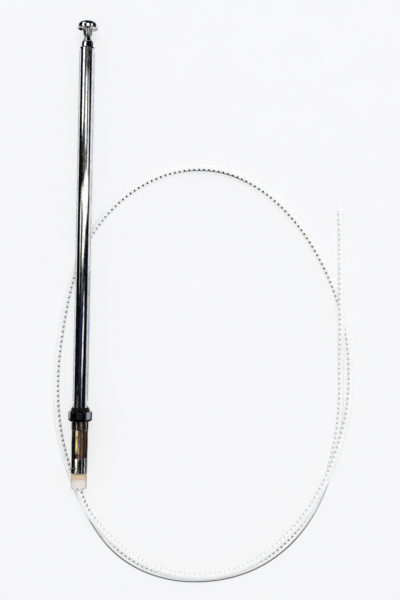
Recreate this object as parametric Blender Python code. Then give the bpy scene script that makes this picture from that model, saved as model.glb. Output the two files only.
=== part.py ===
"""Collapsed telescopic mast of a motor-driven car antenna, with its toothed drive cord.

The mast lies along Y with its tip at +Y, and the origin is the middle of the mast on its own axis.
Heights in this file are stations: distances up the mast from the free end of the guide plug.
The inner sections slide along Y, the nut and its bush slide along the outer tube, and the nut turns.
"""
import math

import bmesh
import bpy
import numpy as np
from mathutils import Matrix, Vector

# Clearances
SEAT_GAP = 0.0003
FIT_GAP = 0.00005
RUNNING_GAP = 0.00015
NUT_GAP = 0.0001

# Drive cord and its ferrule
CORD_DIAMETER = 0.0046
CORD_SOCKET_DEPTH = 0.0034
CORD_FIT = 0.0001
FERRULE_WALL = 0.0003
FERRULE_WEB = 0.0012
FERRULE_FOOT = 0.0050
LAP_GAP = 0.0002

# Nested sections
ROD_DIAMETER = 0.0032
TUBE_WALL = 0.00035
LIP_HEIGHT = 0.0005
LIP_LENGTH = 0.0006
CONE_WALL = 0.00025
CONE_2_LENGTH = 0.0037
CONE_3_LENGTH = 0.0034
CONE_REVEAL = 0.0002
MOUTH_LENGTH = 0.0016
MOUTH_ROUND = 0.0004

# Friction springs
SPRING_LENGTH = 0.0140
SPRING_THICKNESS = 0.00025
SPRING_SWEEP = math.radians(150)
SPRING_PLAY = 0.0001

# Foot of the mast
BARREL_LENGTH = 0.2469
NECK_STEP = 0.0001
SHOULDER_LENGTH = 0.0006
PLUG_HEAD_LENGTH = 0.0104
PLUG_STEM_LENGTH = 0.0156
PLUG_STEP = 0.0001
PLUG_BORE_PLAY = 0.0006
PLUG_ROUND = 0.0005
NOTCH_WIDTH = 0.0005
NOTCH_DEPTH = 0.0007
NOTCH_REACH = 0.0011
NOTCH_COUNT = 8
NOTCH_TURN = math.radians(-12)
CRIMP_LENGTH = 0.0097
CRIMP_WALL = 0.00025
GROOVE_HEIGHT = 0.0034
GROOVE_WIDTH = 0.0008
GROOVE_DEPTH = 0.00015
SLEEVE_LENGTH = 0.0185
SLEEVE_WALL = 0.0002
SLEEVE_BOW = 0.00012
SLIT_LENGTH = 0.0120
SLIT_WIDTH = 0.0005
SLIT_COUNT = 6
COLLAR_LENGTH = 0.0091
COLLAR_WALL = 0.0005
COLLAR_ROUND = 0.0002

# Nut and its bush
BUSH_PLAY = 0.0001
BUSH_WAIST_WALL = 0.0004
BUSH_LIP_HEIGHT = 0.00025
BUSH_LIP_LENGTH = 0.0012
BUSH_FLANGE_HEIGHT = 0.00075
BUSH_FLANGE_EDGE = 0.0003
BUSH_CONE_LENGTH = 0.0020
BUSH_CONE_WALL = 0.00035
NUT_HEIGHT = 0.0066
NUT_TOP_WALL = 0.0016
NUT_LIP_PLAY = 0.00015
NUT_FLAT_WALL = 0.0009
NUT_CHAMFER_ANGLE = math.radians(30)

# Tip cap
CAP_DIAMETER = 0.0135
CAP_BAND = 0.00225
CAP_DOME = 0.0038
CAP_BRIM_LIP = 0.0003
CAP_HOLLOW = 0.0005
CAP_NECK_LENGTH = 0.00465
CAP_NECK_BOTTOM_DIAMETER = 0.0054
CAP_NECK_TOP_DIAMETER = 0.0065
CAP_BORE_DEPTH = 0.0077
FLUTE_DEPTH = 0.00025
FLUTE_COUNT = 14

# Facets round a turned piece, and along the cord
SIDES = 32
HIDDEN_SIDES = 24
FLUTE_SIDES = 4
DOME_RINGS = 6
CORD_EXIT_POINTS = 10
CORD_LAP_POINTS = 70

# Radii, worked out from the cord outwards
cord_radius = CORD_DIAMETER / 2
rod_radius = ROD_DIAMETER / 2
ferrule_radius = cord_radius + CORD_FIT + FERRULE_WALL
ferrule_seat_radius = ferrule_radius - LIP_HEIGHT
section_3_bore = ferrule_radius + RUNNING_GAP
section_3_radius = section_3_bore + TUBE_WALL
section_2_bore = section_3_radius + LIP_HEIGHT + RUNNING_GAP
section_2_radius = section_2_bore + TUBE_WALL
barrel_bore = section_2_radius + LIP_HEIGHT + RUNNING_GAP
barrel_radius = barrel_bore + TUBE_WALL
neck_radius = barrel_radius - NECK_STEP
foot_bore = neck_radius + FIT_GAP
bush_bore = barrel_radius + BUSH_PLAY
bush_waist = bush_bore + BUSH_WAIST_WALL
bush_lip = bush_waist + BUSH_LIP_HEIGHT
bush_flange = bush_waist + BUSH_FLANGE_HEIGHT
nut_hole = bush_waist + NUT_GAP
nut_bore = bush_lip + NUT_LIP_PLAY
nut_half_flats = nut_bore + NUT_FLAT_WALL
nut_corner = nut_half_flats / math.cos(math.radians(30))

# Stations, worked out from the plug's free end upwards
tube_foot = PLUG_HEAD_LENGTH + SEAT_GAP
sleeve_foot = tube_foot + CRIMP_LENGTH + SEAT_GAP
collar_foot = sleeve_foot + SLEEVE_LENGTH + SEAT_GAP
collar_top = collar_foot + COLLAR_LENGTH
bush_foot = collar_top + SEAT_GAP
barrel_foot = bush_foot + SHOULDER_LENGTH
barrel_top = barrel_foot + BARREL_LENGTH
nut_shoulder = bush_foot + BUSH_LIP_LENGTH + SEAT_GAP
nut_top = nut_shoulder + NUT_TOP_WALL
nut_foot = nut_top - NUT_HEIGHT
flange_foot = nut_top + SEAT_GAP
section_foot = PLUG_HEAD_LENGTH + PLUG_STEM_LENGTH + SEAT_GAP
section_2_cone = barrel_top + CONE_REVEAL
section_2_top = section_2_cone + CONE_2_LENGTH
section_3_cone = section_2_top + SEAT_GAP
section_3_top = section_3_cone + CONE_3_LENGTH
cap_foot = section_3_top + SEAT_GAP
cap_brim = cap_foot + CAP_NECK_LENGTH
mast_length = cap_brim + CAP_BAND + CAP_DOME
spring_seat = SPRING_LENGTH + 2 * SEAT_GAP
rod_foot = section_foot + CORD_SOCKET_DEPTH + FERRULE_WEB + SEAT_GAP
cord_start = section_foot + CORD_SOCKET_DEPTH - SEAT_GAP

# Route of the free cord on the table: x, y and how far the lap is lifted, in cord thicknesses
ROUTE = [
    (0.0155, -0.1848, 1.0),
    (0.0410, -0.2055, 1.0),
    (0.0734, -0.2152, 1.0),
    (0.1065, -0.2112, 1.0),
    (0.1346, -0.1936, 1.0),
    (0.1563, -0.1681, 1.0),
    (0.1711, -0.1383, 1.02),
    (0.1801, -0.1059, 0.75),
    (0.1822, -0.0724, 0.08),
    (0.1772, -0.0395, 0.0),
    (0.1654, -0.0080, 0.0),
    (0.1481, 0.0204, 0.0),
    (0.1243, 0.0441, 0.0),
    (0.0944, 0.0588, 0.0),
    (0.0614, 0.0587, 0.0),
    (0.0311, 0.0445, 0.0),
    (0.0080, 0.0207, 0.0),
    (-0.0063, -0.0095, 0.0),
    (-0.0136, -0.0424, 0.0),
    (-0.0174, -0.0755, 0.0),
    (-0.0165, -0.1091, 0.0),
    (-0.0094, -0.1416, 0.0),
    (0.0043, -0.1723, 0.0),
    (0.0250, -0.2003, 0.0),
    (0.0527, -0.2155, 0.0),
    (0.0860, -0.2187, 0.0),
    (0.1181, -0.2104, 0.0),
    (0.1447, -0.1907, 0.0),
    (0.1629, -0.1623, 0.0),
    (0.1724, -0.1305, 0.0),
    (0.1761, -0.0972, 0.0),
    (0.1759, -0.0770, 0.0),
    (0.1750, -0.0450, 1.0),
    (0.1744, -0.0235, 1.0),
    (0.1741, 0.0110, 0.0),
    (0.1730, 0.0367, 0.0),
]
# The cord leaves the plug here on its way down to the table
EXIT_X = 0.0003
DIP_X = 0.0060
DIP_BELOW_PLUG = 0.0152
DIP_Z = -0.0018
EXIT_STRETCH = 0.080

MERGE_DISTANCE = 0.000001
SHARP_ANGLE = math.radians(35)


def along(station):
    """World Y of a station of the mast."""
    return station - mast_length / 2


def clear_scene():
    """Remove what a new file holds."""
    for item in list(bpy.data.objects):
        bpy.data.objects.remove(item, do_unlink=True)


def material(name, colour, roughness, metallic):
    """Plain finish of one piece."""
    finish = bpy.data.materials.new(name)
    finish.use_nodes = True
    shader = finish.node_tree.nodes["Principled BSDF"]
    shader.inputs["Base Color"].default_value = (*colour, 1.0)
    shader.inputs["Roughness"].default_value = roughness
    shader.inputs["Metallic"].default_value = metallic
    finish.diffuse_color = (*colour, 1.0)
    return finish


def link(name, data, finish=None):
    """Put an object into the scene, with its finish."""
    piece = bpy.data.objects.new(name, data)
    bpy.context.scene.collection.objects.link(piece)
    if finish is not None:
        data.materials.append(finish)
    return piece


def carrier(name, parent=None):
    """Empty on the mast axis: its Y location is how far what it carries has slid out."""
    empty = link(name, None)
    empty.empty_display_size = 0.01
    empty.parent = parent
    return empty


def spun_mesh(name, outline, sides, sweep):
    """Spin a (radius, height) outline about Y: closed, or open with both its ends on the axis."""
    mesh = bmesh.new()
    start = Matrix.Rotation(-sweep / 2, 3, "Y")
    points = [mesh.verts.new(start @ Vector((radius, height, 0.0))) for radius, height in outline]
    on_axis = outline[0][0] == 0.0 and outline[-1][0] == 0.0
    last = len(points) - 1 if on_axis else len(points)
    edges = [mesh.edges.new((points[i], points[(i + 1) % len(points)])) for i in range(last)]
    bmesh.ops.spin(
        mesh,
        geom=points + edges,
        cent=(0.0, 0.0, 0.0),
        axis=(0.0, 1.0, 0.0),
        dvec=(0.0, 0.0, 0.0),
        angle=sweep,
        steps=sides,
        use_duplicate=False,
    )
    bmesh.ops.remove_doubles(mesh, verts=mesh.verts, dist=MERGE_DISTANCE)
    rims = [edge for edge in mesh.edges if edge.is_boundary]
    if rims:
        bmesh.ops.holes_fill(mesh, edges=rims, sides=0)
    bmesh.ops.recalc_face_normals(mesh, faces=mesh.faces)
    data = bpy.data.meshes.new(name)
    mesh.to_mesh(data)
    mesh.free()
    data.shade_smooth()
    data.set_sharp_from_angle(angle=SHARP_ANGLE)
    return data


def turned(name, outline, station, body, finish, sides=SIDES, sweep=2 * math.pi):
    """One turned piece with its own foot at a station, carried by a body."""
    piece = link(name, spun_mesh(name, outline, sides, sweep), finish)
    piece.parent = body
    piece.location = (0.0, along(station), 0.0)
    return piece


def cut(piece, cutter, operation="DIFFERENCE"):
    """Cut a piece with a guide solid, then mark the new edges sharp."""
    cutter.location = piece.location
    boolean = piece.modifiers.new(operation.lower(), "BOOLEAN")
    boolean.operation = operation
    boolean.solver = "EXACT"
    boolean.object = cutter
    depsgraph = bpy.context.evaluated_depsgraph_get()
    piece.data = bpy.data.meshes.new_from_object(piece.evaluated_get(depsgraph))
    piece.modifiers.clear()
    piece.data.set_sharp_from_angle(angle=SHARP_ANGLE)
    bpy.data.objects.remove(cutter, do_unlink=True)


def ring_of_boxes(name, count, turn, inner, outer, width, bottom, top):
    """Guide solid of equal boxes that stand radially round the mast axis."""
    mesh = bmesh.new()
    for index in range(count):
        box = bmesh.ops.create_cube(mesh, size=1.0)["verts"]
        size = Matrix.Diagonal((outer - inner, top - bottom, width, 1.0))
        place = Matrix.Translation(((inner + outer) / 2, (bottom + top) / 2, 0.0))
        spin = Matrix.Rotation(turn + index * 2 * math.pi / count, 4, "Y")
        bmesh.ops.transform(mesh, matrix=spin @ place @ size, verts=box)
    data = bpy.data.meshes.new(name)
    mesh.to_mesh(data)
    mesh.free()
    return link(name, data)


def make_outer_tube(body):
    """Barrel of the mast: turned down a little below the nut, and closed in at its mouth."""
    shoulder = bush_foot - tube_foot
    barrel = barrel_foot - tube_foot
    top = barrel_top - tube_foot
    mouth_bore = section_2_radius + RUNNING_GAP
    round_ring = MOUTH_ROUND * math.sin(math.radians(45))
    outline = [
        (barrel_bore, 0.0),
        (neck_radius, 0.0),
        (neck_radius, shoulder),
        (barrel_radius, barrel),
        (barrel_radius, top - MOUTH_ROUND),
        (barrel_radius - MOUTH_ROUND + round_ring, top - MOUTH_ROUND + round_ring),
        (barrel_radius - MOUTH_ROUND, top),
        (mouth_bore, top),
        (mouth_bore, top - MOUTH_LENGTH),
        (barrel_bore, top - MOUTH_LENGTH - LIP_HEIGHT),
    ]
    chrome = material("barrel_chrome", (0.62, 0.63, 0.65), 0.12, 1.0)
    return turned("outer_tube", outline, tube_foot, body, chrome)


def make_guide_plug(body):
    """Nylon plug in the foot of the tube: the cord runs through it, and its end is notched."""
    head = neck_radius + PLUG_STEP / 2
    stem = barrel_bore - FIT_GAP
    bore = cord_radius + PLUG_BORE_PLAY
    length = PLUG_HEAD_LENGTH + PLUG_STEM_LENGTH
    round_ring = PLUG_ROUND * math.sin(math.radians(45))
    outline = [
        (bore, 0.0),
        (head - PLUG_ROUND, 0.0),
        (head - PLUG_ROUND + round_ring, PLUG_ROUND - round_ring),
        (head, PLUG_ROUND),
        (head, PLUG_HEAD_LENGTH),
        (stem, PLUG_HEAD_LENGTH),
        (stem, length),
        (bore, length),
    ]
    nylon = material("plug_nylon", (0.78, 0.68, 0.52), 0.45, 0.0)
    plug = turned("guide_plug", outline, 0.0, body, nylon)
    notches = ring_of_boxes(
        "guide_plug_notches",
        NOTCH_COUNT,
        NOTCH_TURN,
        head - NOTCH_REACH,
        head + NOTCH_DEPTH,
        NOTCH_WIDTH,
        -NOTCH_DEPTH,
        NOTCH_DEPTH,
    )
    cut(plug, notches)
    return plug


def make_crimp_ring(body):
    """Bright ring crimped round the foot of the tube, with one groove."""
    outer = foot_bore + CRIMP_WALL
    outline = [
        (foot_bore, 0.0),
        (outer, 0.0),
        (outer, GROOVE_HEIGHT - GROOVE_WIDTH / 2),
        (outer - GROOVE_DEPTH, GROOVE_HEIGHT - GROOVE_WIDTH / 4),
        (outer - GROOVE_DEPTH, GROOVE_HEIGHT + GROOVE_WIDTH / 4),
        (outer, GROOVE_HEIGHT + GROOVE_WIDTH / 2),
        (outer, CRIMP_LENGTH),
        (foot_bore, CRIMP_LENGTH),
    ]
    nickel = material("ring_nickel", (0.55, 0.54, 0.52), 0.2, 1.0)
    return turned("crimp_ring", outline, tube_foot, body, nickel)


def make_contact_sleeve(body):
    """Brass contact sleeve: slit lengthways, its strips bowed out to press on the motor housing."""
    outer = foot_bore + SLEEVE_WALL
    slit_foot = (SLEEVE_LENGTH - SLIT_LENGTH) / 2
    slit_top = slit_foot + SLIT_LENGTH
    steps = 4
    bow = []
    for step in range(steps + 1):
        share = step / steps
        bow.append((SLEEVE_BOW * math.sin(math.pi * share), slit_foot + share * SLIT_LENGTH))
    outline = [(foot_bore, 0.0), (outer, 0.0)]
    outline += [(outer + rise, height) for rise, height in bow]
    outline += [(outer, SLEEVE_LENGTH), (foot_bore, SLEEVE_LENGTH)]
    outline += [(foot_bore + rise, height) for rise, height in reversed(bow)]
    brass = material("sleeve_brass", (0.42, 0.27, 0.13), 0.3, 1.0)
    sleeve = turned("contact_sleeve", outline, sleeve_foot, body, brass)
    slits = ring_of_boxes(
        "contact_sleeve_slits",
        SLIT_COUNT,
        math.pi / SLIT_COUNT,
        foot_bore - SLEEVE_WALL,
        outer + SLEEVE_BOW + SLEEVE_WALL,
        SLIT_WIDTH,
        slit_foot,
        slit_top,
    )
    cut(sleeve, slits)
    return sleeve


def make_stop_collar(body):
    """Collar that stops the bush and its nut at the foot of the barrel."""
    outer = foot_bore + COLLAR_WALL
    outline = [
        (foot_bore, 0.0),
        (outer - COLLAR_ROUND, 0.0),
        (outer, COLLAR_ROUND),
        (outer, COLLAR_LENGTH - COLLAR_ROUND),
        (outer - COLLAR_ROUND, COLLAR_LENGTH),
        (foot_bore, COLLAR_LENGTH),
    ]
    dark_brass = material("collar_brass", (0.16, 0.12, 0.1), 0.35, 1.0)
    return turned("stop_collar", outline, collar_foot, body, dark_brass)


def make_nut_bush(body):
    """Black bush that slides on the barrel and holds the nut between its lip and its cone."""
    lip_top = BUSH_LIP_LENGTH
    flange = flange_foot - bush_foot
    edge_top = flange + BUSH_FLANGE_EDGE
    top = edge_top + BUSH_CONE_LENGTH
    outline = [
        (bush_bore, 0.0),
        (bush_lip, 0.0),
        (bush_lip, lip_top),
        (bush_waist, lip_top),
        (bush_waist, flange),
        (bush_flange, flange),
        (bush_flange, edge_top),
        (bush_bore + BUSH_CONE_WALL, top),
        (bush_bore, top),
    ]
    black_plastic = material("bush_plastic", (0.02, 0.02, 0.025), 0.4, 0.0)
    return turned("nut_bush", outline, bush_foot, body, black_plastic)


def make_mast_nut(body):
    """Hexagon nut: a turned blank with coned faces, cut to six flats."""
    face = nut_half_flats
    drop = (nut_corner - face) * math.tan(NUT_CHAMFER_ANGLE)
    shoulder = nut_shoulder - nut_foot
    outline = [
        (nut_bore, 0.0),
        (face, 0.0),
        (nut_corner, drop),
        (nut_corner, NUT_HEIGHT - drop),
        (face, NUT_HEIGHT),
        (nut_hole, NUT_HEIGHT),
        (nut_hole, shoulder),
        (nut_bore, shoulder),
    ]
    chrome = material("nut_chrome", (0.45, 0.46, 0.49), 0.15, 1.0)
    nut = turned("mast_nut", outline, nut_foot, body, chrome)
    hexagon = [(0.0, -drop), (nut_corner, -drop), (nut_corner, NUT_HEIGHT + drop), (0.0, NUT_HEIGHT + drop)]
    prism = link("mast_nut_hexagon", spun_mesh("mast_nut_hexagon", hexagon, 6, 2 * math.pi))
    cut(nut, prism, "INTERSECT")
    return nut


def section_outline(bore, cone, top, inner_radius):
    """Outline of a sliding tube: lipped foot with a spring seat, and a coned, narrowed top."""
    radius = bore + TUBE_WALL
    lip = radius + LIP_HEIGHT
    seat_top = LIP_LENGTH + spring_seat
    mouth = inner_radius + RUNNING_GAP
    cone_height = cone - section_foot
    length = top - section_foot
    narrow = length - (top - cone) / 2
    return [
        (bore, 0.0),
        (lip, 0.0),
        (lip, LIP_LENGTH),
        (radius, LIP_LENGTH),
        (radius, seat_top),
        (lip, seat_top),
        (lip, seat_top + LIP_LENGTH),
        (radius, seat_top + LIP_LENGTH),
        (radius, cone_height),
        (mouth + CONE_WALL, length),
        (mouth, length),
        (mouth, narrow),
        (bore, narrow - (bore - mouth)),
    ]


def make_springs(name, seat_radius, tube_bore, station, body, finish):
    """Two bowed half shells that drag on the bore of the next tube."""
    inner = seat_radius + SPRING_PLAY
    crown = tube_bore - RUNNING_GAP - SPRING_THICKNESS
    steps = 4
    inside = []
    for step in range(steps + 1):
        share = step / steps
        inside.append((inner + (crown - inner) * math.sin(math.pi * share), share * SPRING_LENGTH))
    outside = [(radius + SPRING_THICKNESS, height) for radius, height in reversed(inside)]
    for letter, turn in (("a", 0.0), ("b", math.pi)):
        spring = turned(f"{name}_{letter}", inside + outside, station, body, finish, 10, SPRING_SWEEP)
        spring.rotation_euler = (0.0, turn, 0.0)


def make_section_2(body, chrome, bronze):
    """Largest sliding tube, with its two friction springs."""
    outline = section_outline(section_2_bore, section_2_cone, section_2_top, section_3_radius)
    turned("section_2_tube", outline, section_foot, body, chrome)
    station = section_foot + LIP_LENGTH + SEAT_GAP
    make_springs("section_2_spring", section_2_radius, barrel_bore, station, body, bronze)


def make_section_3(body, chrome, bronze):
    """Smaller sliding tube, with its two friction springs."""
    outline = section_outline(section_3_bore, section_3_cone, section_3_top, rod_radius)
    turned("section_3_tube", outline, section_foot, body, chrome)
    station = section_foot + LIP_LENGTH + SEAT_GAP
    make_springs("section_3_spring", section_3_radius, section_2_bore, station, body, bronze)


def make_rod(body, chrome):
    """Solid innermost rod, from its ferrule up into the tip cap."""
    top = cap_foot + CAP_BORE_DEPTH - SEAT_GAP - rod_foot
    outline = [(0.0, 0.0), (rod_radius, 0.0), (rod_radius, top), (0.0, top)]
    turned("section_4_rod", outline, rod_foot, body, chrome, HIDDEN_SIDES)


def make_ferrule(body, bronze):
    """Brass ferrule that joins the cord to the rod, with the rod's friction springs on it."""
    seat_top = FERRULE_FOOT + spring_seat
    top = seat_top + LIP_LENGTH
    cord_bore = cord_radius + CORD_FIT
    rod_bore = rod_radius + FIT_GAP
    web_top = CORD_SOCKET_DEPTH + FERRULE_WEB
    web = [(0.0, web_top), (rod_bore, web_top)]
    socket = [(cord_bore, CORD_SOCKET_DEPTH), (0.0, CORD_SOCKET_DEPTH)]
    outline = web + [
        (rod_bore, top),
        (ferrule_radius, top),
        (ferrule_radius, seat_top),
        (ferrule_seat_radius, seat_top),
        (ferrule_seat_radius, FERRULE_FOOT),
        (ferrule_radius, FERRULE_FOOT),
        (ferrule_radius, 0.0),
        (cord_bore, 0.0),
    ] + socket
    brass = material("ferrule_brass", (0.7, 0.5, 0.22), 0.3, 1.0)
    turned("cord_ferrule", outline, section_foot, body, brass, HIDDEN_SIDES)
    station = section_foot + FERRULE_FOOT + SEAT_GAP
    make_springs("rod_spring", ferrule_seat_radius, section_3_bore, station, body, bronze)


def flute(data, neck_top):
    """Press flutes into the outside of the cap's neck."""
    smallest = CAP_NECK_BOTTOM_DIAMETER / 2 - MERGE_DISTANCE
    largest = CAP_NECK_TOP_DIAMETER / 2 + MERGE_DISTANCE
    for point in data.vertices:
        radius = math.hypot(point.co.x, point.co.z)
        if point.co.y > neck_top or not smallest < radius < largest:
            continue
        angle = math.atan2(point.co.z, point.co.x)
        depth = FLUTE_DEPTH * (1 - math.cos(FLUTE_COUNT * angle)) / 2
        point.co.x *= 1 - depth / radius
        point.co.z *= 1 - depth / radius


def make_tip_cap(body):
    """Domed cap on the rod: fluted neck, hollowed brim, straight band and round top."""
    band = CAP_DIAMETER / 2
    brim = CAP_NECK_LENGTH
    band_top = brim + CAP_BAND
    neck_bottom = CAP_NECK_BOTTOM_DIAMETER / 2
    neck_top = CAP_NECK_TOP_DIAMETER / 2
    bore = rod_radius + FIT_GAP
    outline = [
        (0.0, CAP_BORE_DEPTH),
        (bore, CAP_BORE_DEPTH),
        (bore, 0.0),
        (neck_bottom, 0.0),
        (neck_top, brim),
        (neck_top, brim + CAP_HOLLOW),
        (band - 3 * CAP_BRIM_LIP, brim + CAP_BRIM_LIP),
        (band - CAP_BRIM_LIP, brim),
        (band, brim + CAP_BRIM_LIP),
    ]
    for ring in range(DOME_RINGS + 1):
        angle = math.pi / 2 * ring / DOME_RINGS
        outline.append((band * math.cos(angle), band_top + CAP_DOME * math.sin(angle)))
    outline[-1] = (0.0, band_top + CAP_DOME)
    chrome = material("cap_chrome", (0.6, 0.61, 0.63), 0.1, 1.0)
    cap = turned("tip_cap", outline, cap_foot, body, chrome, FLUTE_COUNT * FLUTE_SIDES)
    flute(cap.data, brim + MERGE_DISTANCE)
    return cap


def natural_spline(knots, values, at):
    """Natural cubic spline through values at the knots."""
    count = len(knots)
    spans = np.diff(knots)
    system = np.eye(count)
    right = np.zeros((count, values.shape[1]))
    slopes = np.diff(values, axis=0) / spans[:, None]
    for row in range(1, count - 1):
        system[row, row - 1] = spans[row - 1]
        system[row, row] = 2 * (spans[row - 1] + spans[row])
        system[row, row + 1] = spans[row]
        right[row] = 6 * (slopes[row] - slopes[row - 1])
    bends = np.linalg.solve(system, right)
    left = np.clip(np.searchsorted(knots, at, side="right") - 1, 0, count - 2)
    span = spans[left][:, None]
    before = (at - knots[left])[:, None]
    after = span - before
    curved = (bends[left] * after ** 3 + bends[left + 1] * before ** 3) / (6 * span)
    straight_left = (values[left] / span - bends[left] * span / 6) * after
    straight_right = (values[left + 1] / span - bends[left + 1] * span / 6) * before
    return curved + straight_left + straight_right


def cord_line():
    """Points of the cord, closer together at the plug: smooth in plan, with its height eased."""
    table_lap = -(barrel_radius + SEAT_GAP + cord_radius)
    lift = CORD_DIAMETER + LAP_GAP
    points = [
        (0.0, along(cord_start), 0.0),
        (0.0, along((PLUG_HEAD_LENGTH + PLUG_STEM_LENGTH) / 2), 0.0),
        (EXIT_X, along(0.0), 0.0),
        (DIP_X, along(-DIP_BELOW_PLUG), DIP_Z),
    ]
    points += [(x, y, table_lap + lap * lift) for x, y, lap in ROUTE]
    points = np.array(points)
    knots = np.concatenate([[0.0], np.cumsum(np.hypot(*np.diff(points[:, :2], axis=0).T))])
    at = np.linspace(0.0, knots[-1], 6001)
    plan = natural_spline(knots, points[:, :2], at)
    left = np.clip(np.searchsorted(knots, at, side="right") - 1, 0, len(knots) - 2)
    share = (at - knots[left]) / (knots[left + 1] - knots[left])
    ease = share * share * (3 - 2 * share)
    height = points[left, 2] + (points[left + 1, 2] - points[left, 2]) * ease
    line = np.column_stack([plan, height])
    run = np.concatenate([[0.0], np.cumsum(np.linalg.norm(np.diff(line, axis=0), axis=1))])
    exit_stretch = np.linspace(0.0, EXIT_STRETCH, CORD_EXIT_POINTS, endpoint=False)
    laps = np.linspace(EXIT_STRETCH, run[-1], CORD_LAP_POINTS)
    places = np.concatenate([exit_stretch, laps])
    return np.column_stack([np.interp(places, run, line[:, axis]) for axis in range(3)])


def make_drive_cord(body):
    """Nylon drive cord, from the ferrule out through the plug and round on the table."""
    line = cord_line()
    data = bpy.data.curves.new("drive_cord", "CURVE")
    data.dimensions = "3D"
    data.bevel_depth = cord_radius
    data.bevel_resolution = 2
    data.use_fill_caps = True
    spline = data.splines.new("POLY")
    spline.points.add(len(line) - 1)
    for point, place in zip(spline.points, line):
        point.co = (*place, 1.0)
    cord = link("drive_cord", data, material("cord_nylon", (0.8, 0.8, 0.76), 0.5, 0.0))
    cord.parent = body
    return cord


def main():
    clear_scene()
    base = carrier("mast_base")
    section_2 = carrier("section_2_carrier", base)
    section_3 = carrier("section_3_carrier", section_2)
    section_4 = carrier("section_4_carrier", section_3)
    bush = carrier("nut_bush_carrier", base)
    nut = carrier("mast_nut_carrier", bush)
    tube_chrome = material("section_chrome", (0.6, 0.61, 0.63), 0.15, 1.0)
    bronze = material("spring_bronze", (0.6, 0.38, 0.2), 0.35, 1.0)

    make_outer_tube(base)
    make_guide_plug(base)
    make_crimp_ring(base)
    make_contact_sleeve(base)
    make_stop_collar(base)
    make_drive_cord(base)
    make_nut_bush(bush)
    make_mast_nut(nut)
    make_section_2(section_2, tube_chrome, bronze)
    make_section_3(section_3, tube_chrome, bronze)
    make_rod(section_4, tube_chrome)
    make_ferrule(section_4, bronze)
    make_tip_cap(section_4)


main()
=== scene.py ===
# %% [markdown]
# A collapsed mast of a motor-driven car antenna, seen from straight above on a pale table.
# Three sliding sections hide inside the barrel. A toothed nylon cord, which the motor's gear
# drives, leaves the foot of the mast and lies round it in two laps.
# The solid model gives every size and place. This file makes the surfaces: finely turned metal,
# moulded nylon, and the teeth of the cord, each with a finish built from shader nodes.

# %% Load the solid model as a fixed frame
import math

import bmesh
import bpy
import numpy as np
from mathutils import Matrix, Vector


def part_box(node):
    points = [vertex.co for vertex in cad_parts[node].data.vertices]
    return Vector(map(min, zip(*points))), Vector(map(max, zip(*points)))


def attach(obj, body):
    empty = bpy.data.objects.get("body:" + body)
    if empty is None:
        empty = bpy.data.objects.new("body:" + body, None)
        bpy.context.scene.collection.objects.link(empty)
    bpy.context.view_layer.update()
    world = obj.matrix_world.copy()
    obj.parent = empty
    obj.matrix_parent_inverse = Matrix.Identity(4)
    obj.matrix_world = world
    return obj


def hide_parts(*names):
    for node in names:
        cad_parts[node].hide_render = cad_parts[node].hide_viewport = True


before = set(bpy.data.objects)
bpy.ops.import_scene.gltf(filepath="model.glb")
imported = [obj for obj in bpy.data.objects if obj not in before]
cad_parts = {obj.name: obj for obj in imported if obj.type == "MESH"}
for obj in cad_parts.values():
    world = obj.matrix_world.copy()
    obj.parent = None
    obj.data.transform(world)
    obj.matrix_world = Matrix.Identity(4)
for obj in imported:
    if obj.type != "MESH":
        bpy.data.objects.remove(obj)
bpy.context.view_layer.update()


def ends(node):
    """Foot and top of a solid along the mast, and its widest radius."""
    low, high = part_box(node)
    return low.y, high.y, high.x


def add_object(name, data):
    """New object in the scene."""
    made = bpy.data.objects.new(name, data)
    bpy.context.scene.collection.objects.link(made)
    return made


# %% [markdown]
# The photograph looks straight down. A camera 0.65 m above the mast sees the rim of the tip cap
# and the edge of the nut curve in opposite ways, as they do in the picture, so that is its height.
# It stands over the middle of the whole picture and not over the mast, and is turned by about a
# degree, because the mast leans a little in the frame.

# %% Camera
CAMERA_OVER = (0.07904, -0.02917)
CAMERA_HEIGHT = 0.65
CAMERA_TURN = math.radians(1.137)
CAMERA_NEAR = 0.01
FOCAL_PIXELS = 966.5
PICTURE_HEIGHT = 600


def make_camera():
    """Camera over the table, looking down, for a picture 400 wide and 600 high."""
    data = bpy.data.cameras.new("table_camera")
    data.sensor_fit = "VERTICAL"
    data.angle_y = 2 * math.atan(PICTURE_HEIGHT / 2 / FOCAL_PIXELS)
    data.clip_start = CAMERA_NEAR
    camera = add_object("table_camera", data)
    camera.location = (*CAMERA_OVER, CAMERA_HEIGHT)
    camera.rotation_euler = (0.0, 0.0, CAMERA_TURN)
    bpy.context.scene.camera = camera
    print("camera field of view", round(math.degrees(data.angle_y), 2))


make_camera()

# %% [markdown]
# The drive cord is the only soft piece. It is 1.20 m long from the ferrule inside the mast to its
# free end, and it shows whole in the photograph. Its route is the same short list of points that
# the solid model uses. A natural cubic spline makes the plan smooth, while the height is eased from
# point to point, so that the cord never dips under the table where one lap climbs over another.

# %% Route of the cord
CORD_DIAMETER = 0.0046
BARREL_FOOT = ends("outer_tube")[0]
BARREL_RADIUS = ends("outer_tube")[2]
MAST_FOOT = ends("guide_plug")[0]
FERRULE_FOOT = ends("cord_ferrule")[0]
CORD_SOCKET = 0.0031
PLUG_MIDDLE = 0.013
SEAT_GAP = 0.0003
LAP_GAP = 0.0002
TABLE = -BARREL_RADIUS - SEAT_GAP - CORD_DIAMETER
EXIT_X = 0.0003
DIP_X = 0.0060
DIP_BELOW_PLUG = 0.0152
DIP_Z = -0.0018
SPLINE_SAMPLES = 12001

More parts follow.
